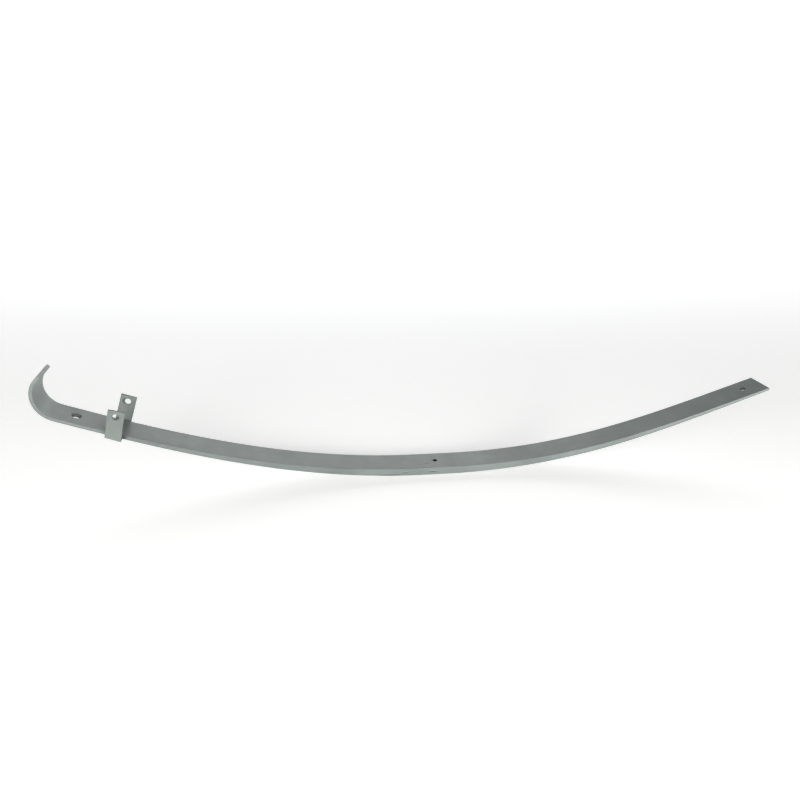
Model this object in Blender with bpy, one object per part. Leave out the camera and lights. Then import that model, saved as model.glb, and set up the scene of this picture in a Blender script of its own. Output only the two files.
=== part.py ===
"""Second leaf of a vehicle leaf spring, with its rebound clip.

A flat bar of spring steel, bowed like a smile, thick at its middle and
tapering to both ends.  The left end is rolled up into an open hook, which
wraps part of the way round the eye of the leaf that lies on top of it.  The
right end is cut off square.  A U-shaped clip hangs under the left arm on one
rivet and stands up on both sides of the leaf.

Frame: metres, +X along the leaf towards its square-cut end, +Y across its
width, +Z up.  The origin is on the axis of the centre-bolt hole, in the flat
underside of the seat, which is the lowest face of the part.
"""

import math

import bmesh
import bpy
from mathutils import Vector

# ---------------------------------------------------------------- dimensions
LEAF_WIDTH = 0.070
SEAT_LENGTH = 0.090            # flat part that is clamped to the axle
SEAT_THICKNESS = 0.019
END_THICKNESS = 0.007
HOOK_SWELL = 0.0011            # the hook is this much thicker than the square end
HOOK_SWELL_START = 0.705       # where the swell begins, along the left arm
LEAF_CORNER_RADIUS = 0.0015    # rolled corners of the bar's section

RIGHT_ARM_LENGTH = 0.815       # along the top face, from seat to square end
RIGHT_BEND_RADIUS = 1.610      # constant next to the seat
RIGHT_FADE_LENGTH = 0.465      # the bend fades away over this outer length
RIGHT_END_CURVATURE = -0.108   # 1/m at the square end: a very slight reverse

LEFT_ARM_LENGTH = 0.790        # from seat to the start of the hook
LEFT_BEND_RADIUS = 1.690
LEFT_FADE_LENGTH = 0.565
LEFT_END_CURVATURE = 0.181     # 1/m where the hook starts

HOOK_INNER_RADIUS = 0.049
HOOK_ANGLE = math.radians(123.5)

CENTRE_HOLE_DIAMETER = 0.010
HOOK_HOLE_DIAMETER = 0.020
HOOK_HOLE_POSITION = 0.755     # along the left arm, from the seat
TIP_HOLE_DIAMETER = 0.013
TIP_HOLE_POSITION = 0.767      # along the right arm, from the seat
HOLE_RIM = 0.0012              # broken edge of the two larger holes

CLIP_POSITION = 0.670          # rivet axis, along the left arm from the seat
CLIP_STRAP_WIDTH = 0.033
CLIP_STRAP_THICKNESS = 0.004
CLIP_INNER_WIDTH = 0.083
CLIP_BEND_RADIUS = 0.0015      # inside of each bend
CLIP_LEG_HEIGHT = 0.0645       # above the inner face of the base
CLIP_HOLE_HEIGHT = 0.0506      # centre of the leg holes above the same face
CLIP_HOLE_DIAMETER = 0.013
CLIP_FRONT_LEAN = math.radians(6.6)   # each leg leans a little towards the hook
CLIP_BACK_LEAN = math.radians(1.7)
CLIP_SWIVEL = math.radians(-3.0)      # rest position of the clip on its rivet
CLIP_EDGE_BREAK = 0.0006

RIVET_SHANK_DIAMETER = 0.010
RIVET_SINK_DIAMETER = 0.018    # flush countersunk head in the leaf's top face
RIVET_SINK_DEPTH = 0.004
RIVET_HEAD_DIAMETER = 0.019    # domed head under the clip
RIVET_HEAD_HEIGHT = 0.006
RIVET_FLUSH = 0.0003           # the top head sits this far below the face

GAP = 0.0003                   # fitting gap between neighbouring pieces

ARM_STEPS = 26
HOOK_STEPS = 30
CORNER_STEPS = 3
ROUND_STEPS = 40


# ------------------------------------------------------------------- helpers
def clear_scene():
    for obj in list(bpy.data.objects):
        bpy.data.objects.remove(obj, do_unlink=True)


def make_material(name, colour, roughness, metallic):
    material = bpy.data.materials.new(name)
    material.use_nodes = True
    bsdf = material.node_tree.nodes["Principled BSDF"]
    bsdf.inputs["Base Color"].default_value = (*colour, 1.0)
    bsdf.inputs["Roughness"].default_value = roughness
    bsdf.inputs["Metallic"].default_value = metallic
    return material


def object_from_bmesh(name, bm, material, smooth_angle=35.0):
    bmesh.ops.recalc_face_normals(bm, faces=bm.faces[:])
    mesh = bpy.data.meshes.new(name)
    bm.to_mesh(mesh)
    bm.free()
    mesh.materials.append(material)
    mesh.shade_smooth()
    mesh.set_sharp_from_angle(angle=math.radians(smooth_angle))
    obj = bpy.data.objects.new(name, mesh)
    bpy.context.collection.objects.link(obj)
    return obj


def skin_loops(bm, loops):
    """Join rings of points with quads and close both ends."""
    rings = [[bm.verts.new(p) for p in loop] for loop in loops]
    count = len(rings[0])
    for a, b in zip(rings, rings[1:]):
        for i in range(count):
            j = (i + 1) % count
            bm.faces.new((a[i], a[j], b[j], b[i]))
    bm.faces.new(rings[0][::-1])
    bm.faces.new(rings[-1])


def turned_solid(bm, outline, centre, axis, steps=ROUND_STEPS):
    """Turn an outline of (radius, height) points about an axis.

    The outline starts and ends on the axis (radius 0)."""
    axis = Vector(axis).normalized()
    side = Vector((0.0, 1.0, 0.0))
    across = side.cross(axis).normalized()
    side = axis.cross(across).normalized()
    rings = []
    for radius, height in outline:
        point = Vector(centre) + axis * height
        if radius < 1e-9:
            rings.append([bm.verts.new(point)])
            continue
        rings.append([bm.verts.new(point
                                   + across * radius * math.cos(2 * math.pi * i / steps)
                                   + side * radius * math.sin(2 * math.pi * i / steps))
                      for i in range(steps)])
    for a, b in zip(rings, rings[1:]):
        for i in range(steps):
            j = (i + 1) % steps
            if len(a) == 1:
                bm.faces.new((a[0], b[j], b[i]))
            elif len(b) == 1:
                bm.faces.new((a[i], a[j], b[0]))
            else:
                bm.faces.new((a[i], a[j], b[j], b[i]))


def cutter_from_outline(name, outline, centre, axis, steps=ROUND_STEPS):
    bm = bmesh.new()
    turned_solid(bm, outline, centre, axis, steps)
    bmesh.ops.recalc_face_normals(bm, faces=bm.faces[:])
    mesh = bpy.data.meshes.new(name)
    bm.to_mesh(mesh)
    bm.free()
    obj = bpy.data.objects.new(name, mesh)
    bpy.context.collection.objects.link(obj)
    obj.hide_render = True
    obj.display_type = "WIRE"
    return obj


def cut(target, cutter):
    modifier = target.modifiers.new(cutter.name, "BOOLEAN")
    modifier.operation = "DIFFERENCE"
    modifier.object = cutter
    modifier.solver = "EXACT"


# -------------------------------------------------------- centre line of leaf
class Station:
    """One place along the leaf: a point of the top face, the direction away
    from the seat, the upward normal and the thickness."""

    def __init__(self, x, z, turn, side, thickness):
        self.x, self.z, self.turn = x, z, turn
        self.side, self.thickness = side, thickness
        self.normal = Vector((-side * math.sin(turn), 0.0, math.cos(turn)))
        self.along = Vector((side * math.cos(turn), 0.0, math.sin(turn)))
        self.top = Vector((x, 0.0, z))


def arm_station(side, distance):
    """Walk along the top face from the end of the seat, to one side.

    The bend is constant next to the seat and fades linearly over the outer
    length, and the thickness falls off linearly."""
    if side > 0:
        length, radius = RIGHT_ARM_LENGTH, RIGHT_BEND_RADIUS
        fade, end = RIGHT_FADE_LENGTH, RIGHT_END_CURVATURE
    else:
        length, radius = LEFT_ARM_LENGTH, LEFT_BEND_RADIUS
        fade, end = LEFT_FADE_LENGTH, LEFT_END_CURVATURE
    start = 1.0 / radius
    fade_from = length - fade

    def turn_at(s):
        if s <= fade_from:
            return start * s
        d = s - fade_from
        return start * s + 0.5 * (end - start) * d * d / fade

    steps = 400
    x = side * SEAT_LENGTH / 2
    z = SEAT_THICKNESS
    ds = distance / steps
    for i in range(steps):
        middle = turn_at((i + 0.5) * ds)
        x += side * math.cos(middle) * ds
        z += math.sin(middle) * ds
    fraction = min(distance / length, 1.0)
    thickness = SEAT_THICKNESS + (END_THICKNESS - SEAT_THICKNESS) * fraction
    if side < 0:
        swell = (distance - HOOK_SWELL_START) / (LEFT_ARM_LENGTH - HOOK_SWELL_START)
        thickness += HOOK_SWELL * min(max(swell, 0.0), 1.0)
    return Station(x, z, turn_at(distance), side, thickness)


def hook_station(angle):
    """Go round the hook, whose inner face continues the leaf's top face."""
    start = arm_station(-1, LEFT_ARM_LENGTH)
    turn = start.turn + angle
    x = start.x - HOOK_INNER_RADIUS * (math.sin(turn) - math.sin(start.turn))
    z = start.z - HOOK_INNER_RADIUS * (math.cos(turn) - math.cos(start.turn))
    return Station(x, z, turn, -1, END_THICKNESS + HOOK_SWELL)


def leaf_stations():
    """All sections of the leaf, from the square end to the tip of the hook."""
    stations = [arm_station(1, RIGHT_ARM_LENGTH * (1 - i / ARM_STEPS))
                for i in range(ARM_STEPS + 1)]
    stations += [arm_station(-1, LEFT_ARM_LENGTH * i / ARM_STEPS)
                 for i in range(ARM_STEPS + 1)]
    stations += [hook_station(HOOK_ANGLE * i / HOOK_STEPS)
                 for i in range(1, HOOK_STEPS + 1)]
    return stations


def section_points(station):
    """Ring of points round one section: a bar with rolled corners."""
    half = LEAF_WIDTH / 2
    radius = LEAF_CORNER_RADIUS
    depth = station.thickness
    corners = ((half - radius, -radius, 90.0), (-half + radius, -radius, 180.0),
               (-half + radius, -depth + radius, 270.0), (half - radius, -depth + radius, 360.0))
    ring = []
    for y, height, start in corners:
        for i in range(CORNER_STEPS + 1):
            angle = math.radians(start - 90.0 + 90.0 * i / CORNER_STEPS)
            ring.append(station.top
                        + Vector((0.0, y + radius * math.cos(angle), 0.0))
                        + station.normal * (height + radius * math.sin(angle)))
    return ring


# --------------------------------------------------------------------- pieces
def make_leaf(material):
    bm = bmesh.new()
    skin_loops(bm, [section_points(s) for s in leaf_stations()])
    leaf = object_from_bmesh("spring_leaf", bm, material)

    def hole(name, station, diameter, rim):
        """A drilled hole with broken edges, square to the top face."""
        r = diameter / 2
        depth = station.thickness
        outline = [(0.0, 0.004), (r + rim + 0.004, 0.004), (r, -rim),
                   (r, -depth + rim), (r + rim + 0.004, -depth - 0.004),
                   (0.0, -depth - 0.004)]
        cut(leaf, cutter_from_outline(name, outline, station.top, station.normal))

    seat = Station(0.0, SEAT_THICKNESS, 0.0, 1, SEAT_THICKNESS)
    r = CENTRE_HOLE_DIAMETER / 2
    cut(leaf, cutter_from_outline(
        "centre_hole_cutter",
        [(0.0, 0.004), (r, 0.004), (r, -SEAT_THICKNESS - 0.004), (0.0, -SEAT_THICKNESS - 0.004)],
        seat.top, seat.normal))
    hole("hook_hole_cutter", arm_station(-1, HOOK_HOLE_POSITION), HOOK_HOLE_DIAMETER, HOLE_RIM)
    hole("tip_hole_cutter", arm_station(1, TIP_HOLE_POSITION), TIP_HOLE_DIAMETER, HOLE_RIM)

    # stepped hole for the clip's rivet, countersunk from the top
    place = arm_station(-1, CLIP_POSITION)
    shank = RIVET_SHANK_DIAMETER / 2 + GAP
    sink = RIVET_SINK_DIAMETER / 2 + GAP
    slope = (sink - shank) / RIVET_SINK_DEPTH
    over = 0.003
    outline = [(0.0, over), (sink + slope * over, over), (shank, -RIVET_SINK_DEPTH),
               (shank, -place.thickness - 0.004), (0.0, -place.thickness - 0.004)]
    cut(leaf, cutter_from_outline("rivet_hole_cutter", outline, place.top, clip_axes()[3]))
    return leaf


def clip_axes():
    """Origin and axes of the clip: its base lies against the leaf's
    underside, and the whole clip is turned on its rivet by CLIP_SWIVEL."""
    place = arm_station(-1, CLIP_POSITION)
    # the underside is steeper than the top face, because the leaf tapers
    taper = math.atan((SEAT_THICKNESS - END_THICKNESS) / LEFT_ARM_LENGTH)
    turn = place.turn + taper
    normal = Vector((math.sin(turn), 0.0, math.cos(turn)))
    towards_seat = Vector((math.cos(turn), 0.0, -math.sin(turn)))
    width = Vector((0.0, 1.0, 0.0))
    c, s = math.cos(CLIP_SWIVEL), math.sin(CLIP_SWIVEL)
    strap = towards_seat * c + width * s         # across the strap
    across = -towards_seat * s + width * c       # from leg to leg
    centre = place.top - place.normal * place.thickness
    return centre, strap, across, normal


def make_clip(material):
    centre, strap, across, normal = clip_axes()
    inner = CLIP_INNER_WIDTH / 2
    thick = CLIP_STRAP_THICKNESS
    bend = CLIP_BEND_RADIUS
    steps = 8

    # U-shaped outline as pairs of inner and outer points: (across, height).
    # Heights count from the inner face of the base.
    pairs = [((-inner, CLIP_LEG_HEIGHT), (-inner - thick, CLIP_LEG_HEIGHT))]
    for i in range(steps + 1):
        angle = math.radians(180.0 + 90.0 * i / steps)
        cy, cz = -inner + bend, bend
        pairs.append(((cy + bend * math.cos(angle), cz + bend * math.sin(angle)),
                      (cy + (bend + thick) * math.cos(angle), cz + (bend + thick) * math.sin(angle))))
    for i in range(steps + 1):
        angle = math.radians(270.0 + 90.0 * i / steps)
        cy, cz = inner - bend, bend
        pairs.append(((cy + bend * math.cos(angle), cz + bend * math.sin(angle)),
                      (cy + (bend + thick) * math.cos(angle), cz + (bend + thick) * math.sin(angle))))
    pairs.append(((inner, CLIP_LEG_HEIGHT), (inner + thick, CLIP_LEG_HEIGHT)))

    def place(a, y, h):
        """Point of the clip; a leg leans in its own plane above the bend."""
        rise = h - bend
        if rise > 1e-9:
            lean = CLIP_FRONT_LEAN if y < 0 else CLIP_BACK_LEAN
            cl, sl = math.cos(lean), math.sin(lean)
            # the top is cut square to the leaning leg
            a, h = a * (1 - rise / (CLIP_LEG_HEIGHT - bend) * (1 - cl)) - rise * sl, \
                bend + rise * cl + a * sl * rise / (CLIP_LEG_HEIGHT - bend)
        return centre + strap * a + across * y + normal * (h - GAP)

    # section of the strap at each pair: four corners with a small edge break
    e = CLIP_EDGE_BREAK
    half = CLIP_STRAP_WIDTH / 2

    def strap_ring(pair):
        (yi, zi), (yo, zo) = pair
        def mix(t):
            return yi + (yo - yi) * t, zi + (zo - zi) * t
        f = e / thick
        ring = []
        for a, t in ((-half + e, 0.0), (half - e, 0.0), (half, f), (half, 1 - f),
                     (half - e, 1.0), (-half + e, 1.0), (-half, 1 - f), (-half, f)):
            y, z = mix(t)
            ring.append(place(a, y, z))
        return ring

    bm = bmesh.new()
    skin_loops(bm, [strap_ring(p) for p in pairs])
    clip = object_from_bmesh("rebound_clip", bm, material)

    # the clip bolt's hole, drilled through each leg
    r = CLIP_HOLE_DIAMETER / 2
    reach = thick / 2 + 0.005
    for name, side in (("front_bolt_hole_cutter", -1), ("back_bolt_hole_cutter", 1)):
        cut(clip, cutter_from_outline(name, [(0.0, reach), (r, reach), (r, -reach), (0.0, -reach)],
                                      place(0.0, side * (inner + thick / 2), CLIP_HOLE_HEIGHT), across))
    r = RIVET_SHANK_DIAMETER / 2 + GAP
    cut(clip, cutter_from_outline("base_hole_cutter",
                                  [(0.0, 0.004), (r, 0.004), (r, -0.010), (0.0, -0.010)],
                                  centre, normal))
    return clip


def make_rivet(material):
    centre, strap, across, normal = clip_axes()
    place = arm_station(-1, CLIP_POSITION)
    top = place.thickness - RIVET_FLUSH
    shank = RIVET_SHANK_DIAMETER / 2
    sink = RIVET_SINK_DIAMETER / 2
    under = -2 * GAP - CLIP_STRAP_THICKNESS
    head = RIVET_HEAD_DIAMETER / 2
    rise = RIVET_HEAD_HEIGHT
    # the countersunk head keeps the same slope as its seat in the leaf
    slope = (sink - shank) / RIVET_SINK_DEPTH
    head_radius = shank + slope * (RIVET_SINK_DEPTH - RIVET_FLUSH)
    outline = [(0.0, top), (head_radius, top),
               (shank, place.thickness - RIVET_SINK_DEPTH),
               (shank, under), (head, under), (head, under - 0.0008)]
    # domed head as part of a sphere
    dome = rise - 0.0008
    ball = (head * head + dome * dome) / (2 * dome)
    sweep = math.asin(head / ball)
    steps = 8
    for i in range(1, steps + 1):
        angle = sweep * (1 - i / steps)
        outline.append((ball * math.sin(angle) if i < steps else 0.0,
                        under - 0.0008 - (ball * math.cos(angle) - (ball - dome))))
    bm = bmesh.new()
    turned_solid(bm, outline, centre, normal)
    return object_from_bmesh("clip_rivet", bm, material)


def main():
    clear_scene()
    paint = make_material("leaf_paint", (0.22, 0.24, 0.23), 0.42, 0.0)
    clip_paint = make_material("clip_paint", (0.26, 0.28, 0.27), 0.45, 0.0)
    rivet_paint = make_material("rivet_paint", (0.24, 0.26, 0.25), 0.40, 0.0)

    make_leaf(paint)
    clip = make_clip(clip_paint)
    make_rivet(rivet_paint)

    # the clip turns about its rivet: an empty on that axis carries it
    centre, strap, across, normal = clip_axes()
    pivot = bpy.data.objects.new("clip_pivot", None)
    bpy.context.collection.objects.link(pivot)
    pivot.location = centre
    bpy.context.view_layer.update()
    for obj in [clip] + [o for o in bpy.data.objects if o.name in ("front_bolt_hole_cutter", "back_bolt_hole_cutter",
                                                           "base_hole_cutter")]:
        obj.parent = pivot
        obj.matrix_parent_inverse = pivot.matrix_world.inverted()


main()
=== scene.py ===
import math

import bmesh
import bpy
from mathutils import Matrix, Vector


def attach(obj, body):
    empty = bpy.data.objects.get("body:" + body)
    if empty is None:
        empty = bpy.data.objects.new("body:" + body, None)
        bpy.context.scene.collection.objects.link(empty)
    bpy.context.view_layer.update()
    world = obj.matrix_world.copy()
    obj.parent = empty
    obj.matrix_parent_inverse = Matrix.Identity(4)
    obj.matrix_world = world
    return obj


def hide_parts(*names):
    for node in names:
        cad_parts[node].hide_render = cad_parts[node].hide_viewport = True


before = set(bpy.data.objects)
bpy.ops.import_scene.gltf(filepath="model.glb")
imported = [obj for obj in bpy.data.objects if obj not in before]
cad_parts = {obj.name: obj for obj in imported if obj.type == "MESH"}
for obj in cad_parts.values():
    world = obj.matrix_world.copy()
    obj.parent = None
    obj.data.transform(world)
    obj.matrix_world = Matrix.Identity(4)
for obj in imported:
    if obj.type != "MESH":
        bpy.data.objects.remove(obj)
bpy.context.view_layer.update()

# ---------------------------------------------------------------- dimensions
# The same numbers as the CAD part, in metres, in the same frame.
LEAF_WIDTH = 0.070
SEAT_LENGTH = 0.090
SEAT_THICKNESS = 0.019
END_THICKNESS = 0.007
HOOK_SWELL = 0.0011            # the hook is this much thicker than the square end
HOOK_SWELL_START = 0.705       # where the swell begins, along the left arm
RIGHT_ARM_LENGTH = 0.815
RIGHT_BEND_RADIUS = 1.610
RIGHT_FADE_LENGTH = 0.465
RIGHT_END_CURVATURE = -0.108
LEFT_ARM_LENGTH = 0.790
LEFT_BEND_RADIUS = 1.690
LEFT_FADE_LENGTH = 0.565
LEFT_END_CURVATURE = 0.181
HOOK_INNER_RADIUS = 0.049
HOOK_ANGLE = math.radians(123.5)
CENTRE_HOLE_DIAMETER = 0.010
HOOK_HOLE_DIAMETER = 0.020
HOOK_HOLE_POSITION = 0.755
TIP_HOLE_DIAMETER = 0.013
TIP_HOLE_POSITION = 0.767
CLIP_POSITION = 0.670
CLIP_STRAP_WIDTH = 0.033
CLIP_STRAP_THICKNESS = 0.004
CLIP_INNER_WIDTH = 0.083
CLIP_BEND_RADIUS = 0.0015
CLIP_LEG_HEIGHT = 0.0645
CLIP_HOLE_HEIGHT = 0.0506
CLIP_HOLE_DIAMETER = 0.013
CLIP_FRONT_LEAN = math.radians(6.6)
CLIP_BACK_LEAN = math.radians(1.7)
CLIP_SWIVEL = math.radians(-3.0)
RIVET_SHANK_DIAMETER = 0.010
RIVET_SINK_DIAMETER = 0.018
RIVET_SINK_DEPTH = 0.004
RIVET_HEAD_DIAMETER = 0.019
RIVET_HEAD_HEIGHT = 0.006
RIVET_FLUSH = 0.0003
GAP = 0.0003

# how fine the shown surfaces are
CORNER_RADIUS = 0.0010         # rolled corners of the bar
SIDE_CROWN = 0.00025           # the rolled sides are very slightly crowned
END_BREAK = 0.0007             # broken edges of the sheared ends
STRAP_EDGE = 0.0007            # broken edges of the clip's strap
RIM = 0.0012                   # rounded rim of the larger holes
SMALL_RIM = 0.0005
HOOK_PUNCH_TAPER = 0.0012      # the hook hole is this much narrower below, all round
ROUND_STEPS = 72


# ------------------------------------------------------------------- helpers
def add_object(name, bm):
    bmesh.ops.recalc_face_normals(bm, faces=bm.faces[:])
    mesh = bpy.data.meshes.new(name)
    bm.to_mesh(mesh)
    bm.free()
    obj = bpy.data.objects.new(name, mesh)
    bpy.context.scene.collection.objects.link(obj)
    return obj


def skin_loops(bm, loops):
    rings = [[bm.verts.new(p) for p in loop] for loop in loops]
    count = len(rings[0])
    for a, b in zip(rings, rings[1:]):
        for i in range(count):
            j = (i + 1) % count
            bm.faces.new((a[i], a[j], b[j], b[i]))
    bm.faces.new(rings[0][::-1])
    bm.faces.new(rings[-1])


def turned(bm, outline, centre, axis, steps=ROUND_STEPS):
    """Turn (radius, height) points about an axis; it starts and ends on it."""
    axis = Vector(axis).normalized()
    across = Vector((0.0, 1.0, 0.0)).cross(axis).normalized()
    side = axis.cross(across).normalized()
    rings = []
    for radius, height in outline:
        point = Vector(centre) + axis * height
        if radius < 1e-9:
            rings.append([bm.verts.new(point)])
            continue
        rings.append([bm.verts.new(point + across * radius * math.cos(2 * math.pi * i / steps)
                                   + side * radius * math.sin(2 * math.pi * i / steps))
                      for i in range(steps)])
    for a, b in zip(rings, rings[1:]):
        for i in range(steps):
            j = (i + 1) % steps
            if len(a) == 1:
                bm.faces.new((a[0], b[j], b[i]))
            elif len(b) == 1:
                bm.faces.new((a[i], a[j], b[0]))
            else:
                bm.faces.new((a[i], a[j], b[j], b[i]))


def hole_outline(radius, levels, reach, rim, steps=6):
    """Outline of a drill with a rounded rim at each surface it meets.

    levels lists (height, direction): direction is +1 where the metal is below
    that height and -1 where it is above."""
    over = 0.004
    points = [(0.0, reach)]
    for height, direction in levels:
        if direction > 0:
            points.append((radius + rim + over, height + over))
            for i in range(steps + 1):
                angle = math.radians(90.0 * i / steps)
                points.append((radius + rim - rim * math.sin(angle), height - rim + rim * math.cos(angle)))
        else:
            for i in range(steps + 1):
                angle = math.radians(90.0 * (1 - i / steps))
                points.append((radius + rim - rim * math.sin(angle), height + rim - rim * math.cos(angle)))
            points.append((radius + rim + over, height - over))
    points.append((0.0, -reach))
    return points


def subtract(obj, cutters):
    """Take the cutters out of the object and keep the result as its mesh."""
    for cutter in cutters:
        modifier = obj.modifiers.new(cutter.name, "BOOLEAN")
        modifier.operation = "DIFFERENCE"
        modifier.object = cutter
        modifier.solver = "EXACT"
    bpy.context.view_layer.update()
    made = bpy.data.meshes.new_from_object(obj.evaluated_get(bpy.context.evaluated_depsgraph_get()))
    obj.modifiers.clear()
    obj.data = made
    for cutter in cutters:
        bpy.data.objects.remove(cutter, do_unlink=True)


def finish_surface(obj, material, angle=38.0):
    obj.data.materials.clear()
    obj.data.materials.append(material)
    obj.data.shade_smooth()
    obj.data.set_sharp_from_angle(angle=math.radians(angle))
    weighted = obj.modifiers.new("weighted_normals", "WEIGHTED_NORMAL")
    weighted.mode = "FACE_AREA"
    weighted.weight = 50
    weighted.keep_sharp = True


# -------------------------------------------------------- centre line of leaf
class Station:
    def __init__(self, x, z, turn, side, thickness):
        self.x, self.z, self.turn = x, z, turn
        self.side, self.thickness = side, thickness
        self.normal = Vector((-side * math.sin(turn), 0.0, math.cos(turn)))
        self.along = Vector((side * math.cos(turn), 0.0, math.sin(turn)))
        self.top = Vector((x, 0.0, z))


def arm_station(side, distance):
    if side > 0:
        length, radius = RIGHT_ARM_LENGTH, RIGHT_BEND_RADIUS
        fade, end = RIGHT_FADE_LENGTH, RIGHT_END_CURVATURE
    else:
        length, radius = LEFT_ARM_LENGTH, LEFT_BEND_RADIUS
        fade, end = LEFT_FADE_LENGTH, LEFT_END_CURVATURE
    start = 1.0 / radius
    fade_from = length - fade

    def turn_at(s):
        if s <= fade_from:
            return start * s
        d = s - fade_from
        return start * s + 0.5 * (end - start) * d * d / fade

    steps = 300
    x = side * SEAT_LENGTH / 2
    z = SEAT_THICKNESS
    ds = distance / steps
    for i in range(steps):
        middle = turn_at((i + 0.5) * ds)
        x += side * math.cos(middle) * ds
        z += math.sin(middle) * ds
    fraction = min(distance / length, 1.0)
    thickness = SEAT_THICKNESS + (END_THICKNESS - SEAT_THICKNESS) * fraction
    if side < 0:
        swell = (distance - HOOK_SWELL_START) / (LEFT_ARM_LENGTH - HOOK_SWELL_START)
        thickness += HOOK_SWELL * min(max(swell, 0.0), 1.0)
    return Station(x, z, turn_at(distance), side, thickness)


def hook_station(angle):
    start = arm_station(-1, LEFT_ARM_LENGTH)
    turn = start.turn + angle
    x = start.x - HOOK_INNER_RADIUS * (math.sin(turn) - math.sin(start.turn))
    z = start.z - HOOK_INNER_RADIUS * (math.cos(turn) - math.cos(start.turn))
    drawn_out = 1.0 - 0.7 * angle / HOOK_ANGLE           # a little thinner towards the tip
    return Station(x, z, turn, -1, END_THICKNESS + HOOK_SWELL * drawn_out)


def wave(u, v, seed):
    """Slow, deterministic unevenness between 0 and 1."""
    return 0.5 + 0.25 * math.sin(9.1 * u + 1.7 * seed + 2.0 * math.sin(3.3 * v + seed)) \
        + 0.25 * math.sin(23.0 * u - 5.0 * v + 4.1 * seed)


def section(station, walk, inset=0.0):
    """Ring round one section: rounded corners, crowned sides, and a top and
    bottom that are not perfectly flat. inset shrinks it for the broken ends."""
    half = LEAF_WIDTH / 2 - inset
    top, low = -inset, -station.thickness + inset
    r = max(CORNER_RADIUS - inset * 0.5, 0.0006)
    crown = SIDE_CROWN
    inner = half - crown
    cross, tall, arc = 12, 8, 6
    ring = []

    def put(y, h, dip=0.0):
        ring.append(station.top + Vector((0.0, y, 0.0)) + station.normal * (h + dip))

    def corner(cy, ch, start):
        for i in range(arc + 1):
            a = math.radians(start + 90.0 * i / arc)
            put(cy + r * math.cos(a), ch + r * math.sin(a))

    def side_face(sign, first, last):
        for i in range(1, tall):
            u = i / tall
            put(sign * (inner + crown * (1 - (2 * u - 1) ** 2)), first + (last - first) * u)

    def flat_face(h, first, last, inwards, seed):
        for i in range(1, cross):
            u = i / cross
            ease = math.sin(math.pi * u) ** 0.5
            put(first + (last - first) * u, h,
                inwards * 0.00006 * ease * wave(walk * 3.0, u * 2.0, seed))

    corner(inner - r, top - r, 0.0)                       # +Y, top
    flat_face(top, inner - r, -inner + r, -1.0, 1.0)
    corner(-inner + r, top - r, 90.0)                     # -Y, top
    side_face(-1, top - r, low + r)
    corner(-inner + r, low + r, 180.0)
    flat_face(low, -inner + r, inner - r, 1.0, 2.0)
    corner(inner - r, low + r, 270.0)
    side_face(1, low + r, top - r)
    return ring


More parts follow.
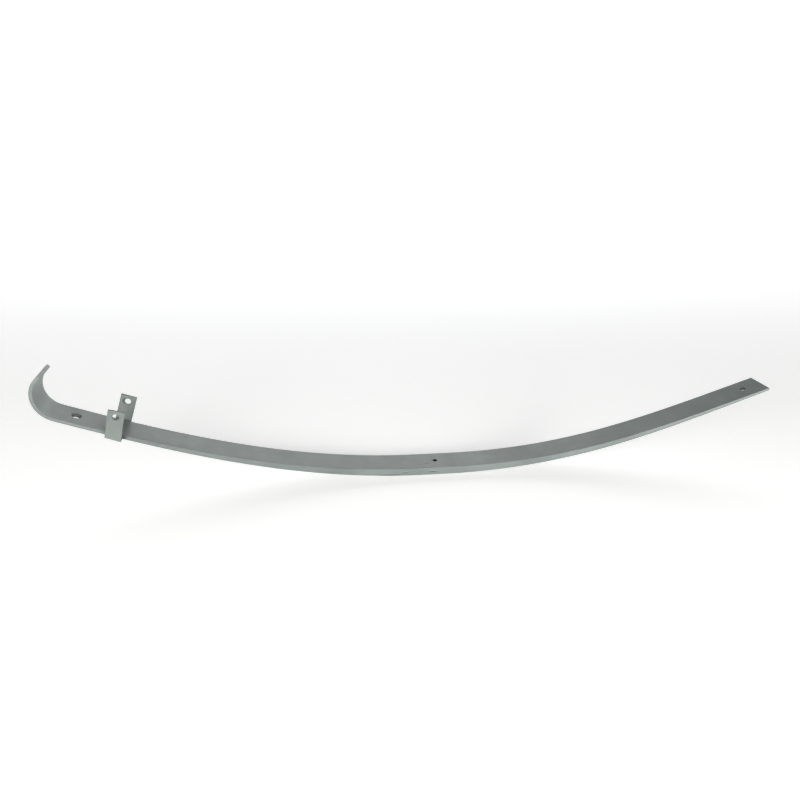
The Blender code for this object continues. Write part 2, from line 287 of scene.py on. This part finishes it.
def make_leaf_bar():
    break_steps = 5
    loops = []
    end = RIGHT_ARM_LENGTH
    for i in range(break_steps + 1):                      # square end, outside in
        a = math.radians(90.0 * (1 - i / break_steps))
        s = end - END_BREAK + END_BREAK * math.sin(a)
        loops.append(section(arm_station(1, s), s, END_BREAK * (1 - math.cos(a))))
    count = 150
    for i in range(1, count + 1):
        s = (end - END_BREAK) * (1 - i / count)
        loops.append(section(arm_station(1, s), s))
    seat_steps = 18
    for i in range(1, seat_steps):
        x = SEAT_LENGTH * (0.5 - i / seat_steps)
        loops.append(section(Station(x, SEAT_THICKNESS, 0.0, 1, SEAT_THICKNESS), x - SEAT_LENGTH / 2))
    for i in range(count + 1):
        s = LEFT_ARM_LENGTH * i / count
        loops.append(section(arm_station(-1, s), -SEAT_LENGTH - s))
    hook_steps = 60
    last = HOOK_ANGLE - END_BREAK / HOOK_INNER_RADIUS
    for i in range(1, hook_steps + 1):
        a = last * i / hook_steps
        loops.append(section(hook_station(a), -SEAT_LENGTH - LEFT_ARM_LENGTH - a * HOOK_INNER_RADIUS))
    for i in range(1, break_steps + 1):
        b = math.radians(90.0 * i / break_steps)
        a = last + END_BREAK * math.sin(b) / HOOK_INNER_RADIUS
        loops.append(section(hook_station(a), -SEAT_LENGTH - LEFT_ARM_LENGTH - a * HOOK_INNER_RADIUS,
                             END_BREAK * (1 - math.cos(b))))
    bm = bmesh.new()
    skin_loops(bm, loops)
    leaf = add_object("leaf_bar", bm)

    cutters = []

    def drill(name, place, diameter, rim):
        bm = bmesh.new()
        turned(bm, hole_outline(diameter / 2, [(0.0, 1), (-place.thickness, -1)],
                                place.thickness + 0.02, rim), place.top, place.normal)
        cutters.append(add_object(name, bm))

    def punch(name, place, diameter, rim, taper):
        """A punched hole: a rounded rim on top, and narrower underneath."""
        r, t = diameter / 2, place.thickness
        outline = [(0.0, 0.02), (r + rim, 0.02)]
        for i in range(7):
            a = math.radians(15.0 * i)
            outline.append((r + rim * (1 - math.sin(a)), -rim * (1 - math.cos(a))))
        outline += [(r - taper, -t), (r - taper, -t - 0.02), (0.0, -t - 0.02)]
        bm = bmesh.new()
        turned(bm, outline, place.top, place.normal)
        cutters.append(add_object(name, bm))

    drill("centre_drill", Station(0.0, SEAT_THICKNESS, 0.0, 1, SEAT_THICKNESS),
          CENTRE_HOLE_DIAMETER, SMALL_RIM)
    punch("hook_punch", arm_station(-1, HOOK_HOLE_POSITION), HOOK_HOLE_DIAMETER, RIM, HOOK_PUNCH_TAPER)
    drill("tip_drill", arm_station(1, TIP_HOLE_POSITION), TIP_HOLE_DIAMETER, RIM)

    place = arm_station(-1, CLIP_POSITION)
    shank = RIVET_SHANK_DIAMETER / 2 + GAP
    sink = RIVET_SINK_DIAMETER / 2 + GAP
    slope = (sink - shank) / RIVET_SINK_DEPTH
    bm = bmesh.new()
    turned(bm, [(0.0, 0.003), (sink + slope * 0.003, 0.003), (shank, -RIVET_SINK_DEPTH),
                (shank, -place.thickness - 0.004), (0.0, -place.thickness - 0.004)],
           place.top, clip_axes()[3])
    cutters.append(add_object("rivet_drill", bm))

    # small bites left by the clamp on the rolled side next to the seat
    for x, length, height, z in BITES:
        bm = bmesh.new()
        bmesh.ops.create_icosphere(bm, subdivisions=4, radius=1.0)
        bmesh.ops.transform(bm, verts=bm.verts[:], matrix=Matrix.Translation((x, -LEAF_WIDTH / 2, z))
                            @ Matrix.Diagonal((length / 2, 0.0007, height / 2, 1.0)))
        cutters.append(add_object("bite_%d" % len(cutters), bm))
    subtract(leaf, cutters)
    return leaf


BITES = (
    (-0.0800, 0.024, 0.0022, 0.0085),
    (-0.0130, 0.028, 0.0022, 0.0080),
)


# ----------------------------------------------------------------------- clip
def clip_axes():
    place = arm_station(-1, CLIP_POSITION)
    taper = math.atan((SEAT_THICKNESS - END_THICKNESS) / LEFT_ARM_LENGTH)
    turn = place.turn + taper
    normal = Vector((math.sin(turn), 0.0, math.cos(turn)))
    towards_seat = Vector((math.cos(turn), 0.0, -math.sin(turn)))
    width = Vector((0.0, 1.0, 0.0))
    c, s = math.cos(CLIP_SWIVEL), math.sin(CLIP_SWIVEL)
    strap = towards_seat * c + width * s
    across = -towards_seat * s + width * c
    centre = place.top - place.normal * place.thickness
    return centre, strap, across, normal


def clip_place(a, y, h):
    """A point of the clip: along the leaf, across it, and above the strap's base."""
    centre, strap, across, normal = clip_axes()
    bend, height = CLIP_BEND_RADIUS, CLIP_LEG_HEIGHT
    rise = h - bend
    if rise > 1e-9:
        lean = CLIP_FRONT_LEAN if y < 0 else CLIP_BACK_LEAN
        cl, sl = math.cos(lean), math.sin(lean)
        share = rise / (height - bend)
        a, h = a * (1 - share * (1 - cl)) - rise * sl, bend + rise * cl + a * sl * share
    return centre + strap * a + across * y + normal * (h - GAP)


def clip_marks():
    """Where the leg holes and the sheared leg ends are, each with its painted shade."""
    across = clip_axes()[2]
    holes, ends = [], []
    for side, shade in ((-1, 0.42), (1, 0.80)):
        y = side * (CLIP_INNER_WIDTH + CLIP_STRAP_THICKNESS) / 2
        holes.append((clip_place(0.0, y, CLIP_HOLE_HEIGHT), across, CLIP_HOLE_DIAMETER / 2, shade))
        top = clip_place(0.0, y, CLIP_LEG_HEIGHT)
        edge = clip_place(CLIP_STRAP_WIDTH / 2, y, CLIP_LEG_HEIGHT) - top
        ends.append((top, across.cross(-edge).normalized(), 0.40))
    return holes, ends


def make_clip_strap():
    centre, strap, across, normal = clip_axes()
    inner = CLIP_INNER_WIDTH / 2
    thick = CLIP_STRAP_THICKNESS
    bend = CLIP_BEND_RADIUS
    height = CLIP_LEG_HEIGHT
    place = clip_place

    # middle line of the strap as (across, height, direction out)
    path = []
    e = STRAP_EDGE
    ease = 5
    leg_steps = 14
    for i in range(ease + 1):                              # broken top edge
        a = math.radians(90.0 * (1 - i / ease))
        path.append((-1, height - e + e * math.sin(a), e * (1 - math.cos(a))))
    for i in range(1, leg_steps):
        path.append((-1, bend + (height - e - bend) * (1 - i / leg_steps), 0.0))
    rings = []

    def strap_ring(inside, outside, inset):
        """Rounded rectangle between an inner and an outer point."""
        (yi, zi), (yo, zo) = inside, outside
        half = CLIP_STRAP_WIDTH / 2 - inset
        r = STRAP_EDGE
        lo, hi = inset / thick, 1 - inset / thick
        f = r / thick
        ring = []

        def put(a, t):
            ring.append(place(a, yi + (yo - yi) * t, zi + (zo - zi) * t))

        def arc(ca, ct, start):
            for i in range(5):
                g = math.radians(start + 22.5 * i)
                put(ca + r * math.cos(g), ct + f * math.sin(g))

        def run(a0, a1, t, dip):
            for i in range(1, 8):
                u = i / 8
                put(a0 + (a1 - a0) * u, t + dip * math.sin(math.pi * u) ** 0.5)

        arc(half - r, hi - f, 0.0)
        run(half - r, -half + r, hi, -0.010)
        arc(-half + r, hi - f, 90.0)
        arc(-half + r, lo + f, 180.0)
        run(-half + r, half - r, lo, 0.010)
        arc(half - r, lo + f, 270.0)
        return ring

    for sign, h, inset in path:
        rings.append(strap_ring((-inner, h), (-inner - thick, h), inset))
    steps = 14
    for i in range(steps + 1):
        a = math.radians(180.0 + 90.0 * i / steps)
        cy, cz = -inner + bend, bend
        rings.append(strap_ring((cy + bend * math.cos(a), cz + bend * math.sin(a)),
                                (cy + (bend + thick) * math.cos(a), cz + (bend + thick) * math.sin(a)), 0.0))
    base_steps = 16
    for i in range(1, base_steps):
        y = (-inner + bend) + 2 * (inner - bend) * i / base_steps
        rings.append(strap_ring((y, 0.0), (y, -thick), 0.0))
    for i in range(steps + 1):
        a = math.radians(270.0 + 90.0 * i / steps)
        cy, cz = inner - bend, bend
        rings.append(strap_ring((cy + bend * math.cos(a), cz + bend * math.sin(a)),
                                (cy + (bend + thick) * math.cos(a), cz + (bend + thick) * math.sin(a)), 0.0))
    for sign, h, inset in reversed(path):
        rings.append(strap_ring((inner, h), (inner + thick, h), inset))
    bm = bmesh.new()
    skin_loops(bm, rings)
    clip = add_object("clip_strap", bm)

    cutters = []
    for name, side in (("front_drill", -1), ("back_drill", 1)):
        bm = bmesh.new()
        turned(bm, hole_outline(CLIP_HOLE_DIAMETER / 2, [(thick / 2, 1), (-thick / 2, -1)],
                                thick / 2 + 0.008, SMALL_RIM),
               place(0.0, side * (inner + thick / 2), CLIP_HOLE_HEIGHT), across)
        cutters.append(add_object(name, bm))
    r = RIVET_SHANK_DIAMETER / 2 + GAP
    bm = bmesh.new()
    turned(bm, [(0.0, 0.004), (r, 0.004), (r, -0.010), (0.0, -0.010)], centre, normal)
    cutters.append(add_object("base_drill", bm))
    subtract(clip, cutters)
    return clip


def make_rivet_body():
    centre, strap, across, normal = clip_axes()
    place = arm_station(-1, CLIP_POSITION)
    top = place.thickness - RIVET_FLUSH
    shank = RIVET_SHANK_DIAMETER / 2
    sink = RIVET_SINK_DIAMETER / 2
    under = -2 * GAP - CLIP_STRAP_THICKNESS
    head = RIVET_HEAD_DIAMETER / 2
    slope = (sink - shank) / RIVET_SINK_DEPTH
    head_radius = shank + slope * (RIVET_SINK_DEPTH - RIVET_FLUSH)
    # hammered flat, with a shallow dish and a rounded rim
    outline = [(0.0, top - 0.00025), (head_radius * 0.45, top - 0.0002), (head_radius * 0.75, top - 0.00006),
               (head_radius - 0.0009, top), (head_radius - 0.0004, top - 0.00008),
               (head_radius - 0.00035, top - 0.0003),
               (shank, place.thickness - RIVET_SINK_DEPTH), (shank, under),
               (head - 0.0004, under), (head - 0.0001, under - 0.0002), (head, under - 0.0006)]
    dome = RIVET_HEAD_HEIGHT - 0.0006
    ball = (head * head + dome * dome) / (2 * dome)
    sweep = math.asin(min(1.0, head / ball))
    steps = 18
    for i in range(1, steps + 1):
        angle = sweep * (1 - i / steps)
        outline.append((ball * math.sin(angle) if i < steps else 0.0,
                        under - 0.0006 - (ball * math.cos(angle) - (ball - dome))))
    bm = bmesh.new()
    turned(bm, outline, centre, normal)
    return add_object("rivet_body", bm)


# ------------------------------------------------------------------ materials
class Nodes:
    """Short way to write a node tree."""

    def __init__(self, material):
        self.tree = material.node_tree
        self.tree.nodes.clear()

    def add(self, kind, **values):
        node = self.tree.nodes.new(kind)
        for key, value in values.items():
            setattr(node, key, value)
        return node

    def link(self, a, b):
        self.tree.links.new(a, b)

    def noise(self, vector, scale, detail=3.0, roughness=0.5):
        node = self.add("ShaderNodeTexNoise")
        node.inputs["Scale"].default_value = scale
        node.inputs["Detail"].default_value = detail
        node.inputs["Roughness"].default_value = roughness
        self.link(vector, node.inputs["Vector"])
        return node.outputs["Fac"]

    def stretch(self, vector, scale, place=(0.0, 0.0, 0.0)):
        node = self.add("ShaderNodeMapping")
        node.inputs["Scale"].default_value = scale
        node.inputs["Location"].default_value = place
        self.link(vector, node.inputs["Vector"])
        return node.outputs["Vector"]

    def ramp(self, value, low, high, start=0.0, end=1.0):
        node = self.add("ShaderNodeMapRange", clamp=True)
        node.inputs["From Min"].default_value = low
        node.inputs["From Max"].default_value = high
        node.inputs["To Min"].default_value = start
        node.inputs["To Max"].default_value = end
        self.link(value, node.inputs["Value"])
        return node.outputs["Result"]

    def mix(self, factor, a, b):
        node = self.add("ShaderNodeMix", data_type="RGBA")
        for socket, value in ((node.inputs[0], factor), (node.inputs[6], a), (node.inputs[7], b)):
            if isinstance(value, bpy.types.NodeSocket):
                self.link(value, socket)
            elif isinstance(value, (int, float)):
                socket.default_value = value
            else:
                socket.default_value = (*value, 1.0)
        return node.outputs[2]

    def maths(self, operation, a, b):
        node = self.add("ShaderNodeMath", operation=operation)
        for socket, value in ((node.inputs[0], a), (node.inputs[1], b)):
            if isinstance(value, bpy.types.NodeSocket):
                self.link(value, socket)
            else:
                socket.default_value = value
        return node.outputs[0]


def paint(name, colour, seed, flow, holes=(), marks=(), ends=()):
    """Sprayed grey paint over rolled steel: slow tone changes, a fine orange peel,
    faint rolling streaks, dust specks and paler, smoother worn edges, with painted
    shade at the given holes, ends and marks, and painted highlights among the marks."""
    material = bpy.data.materials.new(name)
    material.use_nodes = True
    n = Nodes(material)
    out = n.add("ShaderNodeOutputMaterial")
    bsdf = n.add("ShaderNodeBsdfPrincipled")
    n.link(bsdf.outputs[0], out.inputs[0])
    place = n.add("ShaderNodeTexCoord").outputs["Object"]
    shifted = n.stretch(place, (1.0, 1.0, 1.0), (seed * 0.37, seed * 0.11, seed * 0.23))
    along = n.stretch(shifted, flow)

    cloud = n.noise(shifted, 9.0, 3.0, 0.55)
    patch = n.noise(shifted, 42.0, 4.0, 0.6)
    streak = n.noise(along, 30.0, 4.0, 0.6)
    speck = n.noise(shifted, 900.0, 2.0, 0.5)
    peel = n.noise(shifted, 520.0, 2.0, 0.5)
    grain = n.noise(along, 160.0, 3.0, 0.55)

    dark = tuple(c * 0.86 for c in colour)
    light = tuple(c * 1.13 for c in colour)
    warm = (colour[0] * 1.05, colour[1] * 0.985, colour[2] * 0.985)
    tone = n.mix(n.ramp(cloud, 0.32, 0.68), dark, light)
    tone = n.mix(n.ramp(patch, 0.45, 0.75, 0.0, 0.55), tone, warm)
    tone = n.mix(n.ramp(streak, 0.52, 0.78, 0.0, 0.30), tone, tuple(c * 0.78 for c in colour))
    tone = n.mix(n.ramp(speck, 0.66, 0.74, 0.0, 0.35), tone, tuple(c * 1.7 for c in colour))

    # worn edges: where a rounded normal differs from the true one
    bevel = n.add("ShaderNodeBevel", samples=6)
    bevel.inputs["Radius"].default_value = 0.0012
    geometry = n.add("ShaderNodeNewGeometry")
    dot = n.add("ShaderNodeVectorMath", operation="DOT_PRODUCT")
    n.link(bevel.outputs[0], dot.inputs[0])
    n.link(geometry.outputs["Normal"], dot.inputs[1])
    edge = n.ramp(n.maths("SUBTRACT", 1.0, dot.outputs["Value"]), 0.02, 0.20)
    worn = n.maths("MULTIPLY", edge, n.ramp(n.noise(shifted, 120.0, 4.0, 0.65), 0.42, 0.66))
    tone = n.mix(n.maths("MULTIPLY", worn, 0.55), tone, tuple(c * 1.55 for c in colour))
    # painted shade on the walls of the drilled holes
    for point, axis, radius, shade in holes:
        away = n.add("ShaderNodeVectorMath", operation="SUBTRACT")
        n.link(place, away.inputs[0])
        away.inputs[1].default_value = point
        turn = n.add("ShaderNodeVectorMath", operation="CROSS_PRODUCT")
        n.link(away.outputs[0], turn.inputs[0])
        turn.inputs[1].default_value = axis
        reach = n.add("ShaderNodeVectorMath", operation="LENGTH")
        n.link(turn.outputs[0], reach.inputs[0])
        inside = n.ramp(reach.outputs["Value"], radius + 0.0002, radius + 0.0009, 1.0, 0.0)
        tone = n.mix(inside, tone, tuple(c * shade for c in colour))
    # painted shade on the sheared ends: everything beyond a plane
    for point, axis, shade in ends:
        away = n.add("ShaderNodeVectorMath", operation="SUBTRACT")
        n.link(place, away.inputs[0])
        away.inputs[1].default_value = point
        rise = n.add("ShaderNodeVectorMath", operation="DOT_PRODUCT")
        n.link(away.outputs[0], rise.inputs[0])
        rise.inputs[1].default_value = axis
        beyond = n.ramp(rise.outputs["Value"], -0.0006, -0.0002)
        tone = n.mix(beyond, tone, tuple(c * shade for c in colour))
    # marks: painted shade in the clamp's bites, along the lower edge and in the corner by the clip, a painted
    # highlight above each bite, and a darker smudge on the top
    for point, half, shade, soft in marks:
        away = n.add("ShaderNodeVectorMath", operation="SUBTRACT")
        n.link(place, away.inputs[0])
        away.inputs[1].default_value = point
        share = n.add("ShaderNodeVectorMath", operation="DIVIDE")
        n.link(away.outputs[0], share.inputs[0])
        share.inputs[1].default_value = half
        reach = n.add("ShaderNodeVectorMath", operation="LENGTH")
        n.link(share.outputs[0], reach.inputs[0])
        inside = n.ramp(reach.outputs["Value"], 1.0 - soft, 1.0, 1.0, 0.0)
        inside = n.maths("MULTIPLY", inside, n.ramp(patch, 0.30, 0.50, 0.6, 1.0))
        tone = n.mix(inside, tone, tuple(c * shade for c in colour))
    n.link(tone, bsdf.inputs["Base Color"])

    rough = n.ramp(n.maths("ADD", n.maths("MULTIPLY", patch, 0.6), n.maths("MULTIPLY", grain, 0.4)),
                   0.35, 0.65, 0.40, 0.54)
    rough = n.maths("SUBTRACT", rough, n.maths("MULTIPLY", worn, 0.10))
    n.link(rough, bsdf.inputs["Roughness"])
    bsdf.inputs["Metallic"].default_value = 0.0
    bsdf.inputs["IOR"].default_value = 1.5
    bsdf.inputs["Specular IOR Level"].default_value = 0.5
    bsdf.inputs["Coat Weight"].default_value = 0.10
    bsdf.inputs["Coat Roughness"].default_value = 0.35

    fine = n.add("ShaderNodeBump")
    fine.inputs["Strength"].default_value = 0.22
    fine.inputs["Distance"].default_value = 0.00006
    n.link(peel, fine.inputs["Height"])
    coarse = n.add("ShaderNodeBump")
    coarse.inputs["Strength"].default_value = 0.30
    coarse.inputs["Distance"].default_value = 0.00025
    n.link(grain, coarse.inputs["Height"])
    n.link(fine.outputs[0], coarse.inputs["Normal"])
    n.link(coarse.outputs[0], bsdf.inputs["Normal"])
    return material


PAINT = (0.163, 0.190, 0.181)
# painted shade inside the leaf's holes: the centre hole nearly black, the others darker
HOLE_SHADE = []
for station, diameter, shade in (
        (Station(0.0, SEAT_THICKNESS, 0.0, 1, SEAT_THICKNESS), CENTRE_HOLE_DIAMETER, 0.06),
        (arm_station(-1, HOOK_HOLE_POSITION), HOOK_HOLE_DIAMETER, 0.50),
        (arm_station(1, TIP_HOLE_POSITION), TIP_HOLE_DIAMETER, 0.35)):
    HOLE_SHADE.append((station.top, station.normal, diameter / 2, shade))
# painted shade in the clamp's bites
MARKS = [((x, -LEAF_WIDTH / 2, z), (length / 2, 0.0015, height / 2), 0.12, 0.45)
         for x, length, height, z in BITES]
# painted highlight just above each bite
MARKS += [((x, -LEAF_WIDTH / 2, z + 0.0026), (length * 0.6, 0.0015, 0.0016), 1.45, 0.8)
          for x, length, height, z in BITES]
# painted shade along the lower edge, where the leaf comes near the floor
MARKS.append(((-0.117, -LEAF_WIDTH / 2, 0.0046), (0.034, 0.004, 0.0022), 0.45, 0.6))
MARKS.append(((-0.023, -0.013, SEAT_THICKNESS), (0.008, 0.004, 0.002), 0.55, 0.9))
# painted shadow in the corner beside the clip's front leg
corner = arm_station(-1, CLIP_POSITION - CLIP_STRAP_WIDTH / 2 - 0.001)
MARKS.append((tuple(corner.top - corner.normal * corner.thickness * 0.45 - Vector((0.0, LEAF_WIDTH / 2, 0.0))),
              (0.009, 0.006, 0.008), 0.30, 0.8))
LEAF_PAINT = paint("leaf_paint_look", PAINT, 1.0, (0.12, 1.0, 1.0), HOLE_SHADE, MARKS)
CLIP_HOLE_SHADE, CLIP_END_SHADE = clip_marks()
CLIP_PAINT = paint("clip_paint_look", (PAINT[0] * 1.03, PAINT[1] * 1.02, PAINT[2] * 0.99), 2.0,
                   (1.0, 1.0, 0.18), CLIP_HOLE_SHADE, (), CLIP_END_SHADE)
RIVET_PAINT = paint("rivet_paint_look", PAINT, 3.0, (1.0, 1.0, 1.0))

leaf = make_leaf_bar()
finish_surface(leaf, LEAF_PAINT)
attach(leaf, "leaf")
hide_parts("spring_leaf")

clip = make_clip_strap()
finish_surface(clip, CLIP_PAINT)
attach(clip, "clip")
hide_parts("rebound_clip")

rivet = make_rivet_body()
finish_surface(rivet, RIVET_PAINT)
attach(rivet, "leaf")
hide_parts("clip_rivet")


# ---------------------------------------------------------------------- stage
FLOOR_GLOW = 0.44
WALL_GLOW = 0.85


def make_floor():
    """A wide pale floor that curves up far behind into a low backdrop."""
    profile = [(-7.0, 0.0), (-3.0, 0.0), (3.0, 0.0), (6.0, 0.0)]
    for i in range(1, 13):
        a = math.radians(90.0 * i / 12)
        profile.append((6.0 + 2.0 * math.sin(a), 2.0 * (1 - math.cos(a))))
    profile.append((8.0, 6.0))
    bm = bmesh.new()
    rows = [[bm.verts.new((x, y, z - 0.0004)) for y, z in profile] for x in (-9.0, -3.0, 3.0, 9.0)]
    for a, b in zip(rows, rows[1:]):
        for i in range(len(profile) - 1):
            bm.faces.new((a[i], b[i], b[i + 1], a[i + 1]))
    obj = add_object("studio_floor", bm)
    obj.data.shade_smooth()
    material = bpy.data.materials.new("pale_floor")
    material.use_nodes = True
    bsdf = material.node_tree.nodes["Principled BSDF"]
    bsdf.inputs["Base Color"].default_value = (0.86, 0.86, 0.855, 1.0)
    bsdf.inputs["Roughness"].default_value = 0.85
    bsdf.inputs["Specular IOR Level"].default_value = 0.2
    # a lit sweep: the backdrop glows, and the floor a little
    bsdf.inputs["Emission Color"].default_value = (1.0, 1.0, 0.995, 1.0)
    tree = material.node_tree
    place = tree.nodes.new("ShaderNodeTexCoord")
    reach = tree.nodes.new("ShaderNodeVectorMath")
    reach.operation = "LENGTH"
    glow = tree.nodes.new("ShaderNodeMapRange")
    glow.name = "glow"
    glow.interpolation_type = "SMOOTHSTEP"
    glow.inputs["From Min"].default_value = 0.8
    glow.inputs["From Max"].default_value = 5.0
    glow.inputs["To Min"].default_value = FLOOR_GLOW
    glow.inputs["To Max"].default_value = WALL_GLOW
    tree.links.new(place.outputs["Object"], reach.inputs[0])
    tree.links.new(reach.outputs["Value"], glow.inputs["Value"])
    tree.links.new(glow.outputs["Result"], bsdf.inputs["Emission Strength"])
    obj.data.materials.append(material)
    return obj


make_floor()

world = bpy.data.worlds.new("studio_world")
bpy.context.scene.world = world
world.use_nodes = True
background = world.node_tree.nodes["Background"]
background.inputs[0].default_value = (1.0, 1.0, 1.0, 1.0)
background.inputs[1].default_value = 0.05      # the little light that the room adds
seen = world.node_tree.nodes.new("ShaderNodeBackground")
seen.inputs[0].default_value = (0.93, 0.93, 0.93, 1.0)
seen.inputs[1].default_value = 1.0
path = world.node_tree.nodes.new("ShaderNodeLightPath")
both = world.node_tree.nodes.new("ShaderNodeMixShader")
world.node_tree.links.new(path.outputs["Is Camera Ray"], both.inputs[0])
world.node_tree.links.new(background.outputs[0], both.inputs[1])
world.node_tree.links.new(seen.outputs[0], both.inputs[2])
world.node_tree.links.new(both.outputs[0], world.node_tree.nodes["World Output"].inputs[0])


def softbox(name, place, aim, width, height, power, tint):
    data = bpy.data.lights.new(name, "AREA")
    data.shape = "RECTANGLE"
    data.size, data.size_y = width, height
    data.energy = power
    data.color = tint
    obj = bpy.data.objects.new(name, data)
    bpy.context.scene.collection.objects.link(obj)
    obj.location = place
    obj.rotation_mode = "QUATERNION"
    obj.rotation_quaternion = (Vector(aim) - Vector(place)).to_track_quat("-Z", "Y")
    obj.visible_camera = False
    return obj


FRONT_TINT = (1.0, 0.978, 0.980)
BACK_TINT = (0.94, 1.0, 0.985)
LIGHTS = (
    ("low_right", (1.3, -1.9, 0.45), (0.5, 0.0, 0.08), 0.9, 0.5, 42.0, FRONT_TINT),
    ("front_middle", (0.35, -2.2, 0.6), (0.25, 0.0, 0.1), 0.8, 0.5, 8.0, FRONT_TINT),
    ("front_left", (-1.7, -1.9, 0.9), (-0.7, 0.0, 0.1), 1.2, 1.0, 44.0, FRONT_TINT),
    ("back_left", (-0.9, 3.0, 1.6), (-0.6, 0.0, 0.1), 2.0, 1.2, 11.0, BACK_TINT),
    ("back_right", (1.2, 3.0, 1.6), (0.2, 0.0, 0.1), 2.0, 1.2, 16.5, BACK_TINT),
    ("back_low", (-0.2, 2.6, 0.8), (-0.2, 0.0, 0.1), 2.4, 0.8, 4.5, BACK_TINT),
)
for light in LIGHTS:
    softbox(*light)

# --------------------------------------------------------------------- camera
camera_data = bpy.data.cameras.new("camera")
camera_data.sensor_width = 36.0
camera_data.lens = 29.49
camera_data.clip_start = 0.02
camera_data.clip_end = 60.0
camera = bpy.data.objects.new("camera", camera_data)
bpy.context.scene.collection.objects.link(camera)
forward = Vector((0.1871, 0.8976, -0.3991)).normalized()
right = Vector((0.9818, -0.1838, 0.0468))
right = (right - forward * right.dot(forward)).normalized()
up = right.cross(forward).normalized()
camera.matrix_world = Matrix.Translation((-0.3726, -1.3407, 0.7762)) @ Matrix((
    (right.x, up.x, -forward.x, 0.0),
    (right.y, up.y, -forward.y, 0.0),
    (right.z, up.z, -forward.z, 0.0),
    (0.0, 0.0, 0.0, 1.0)))
bpy.context.scene.camera = camera
bpy.context.scene.view_settings.view_transform = "Standard"
bpy.context.scene.view_settings.look = "None"

bpy.context.view_layer.update()
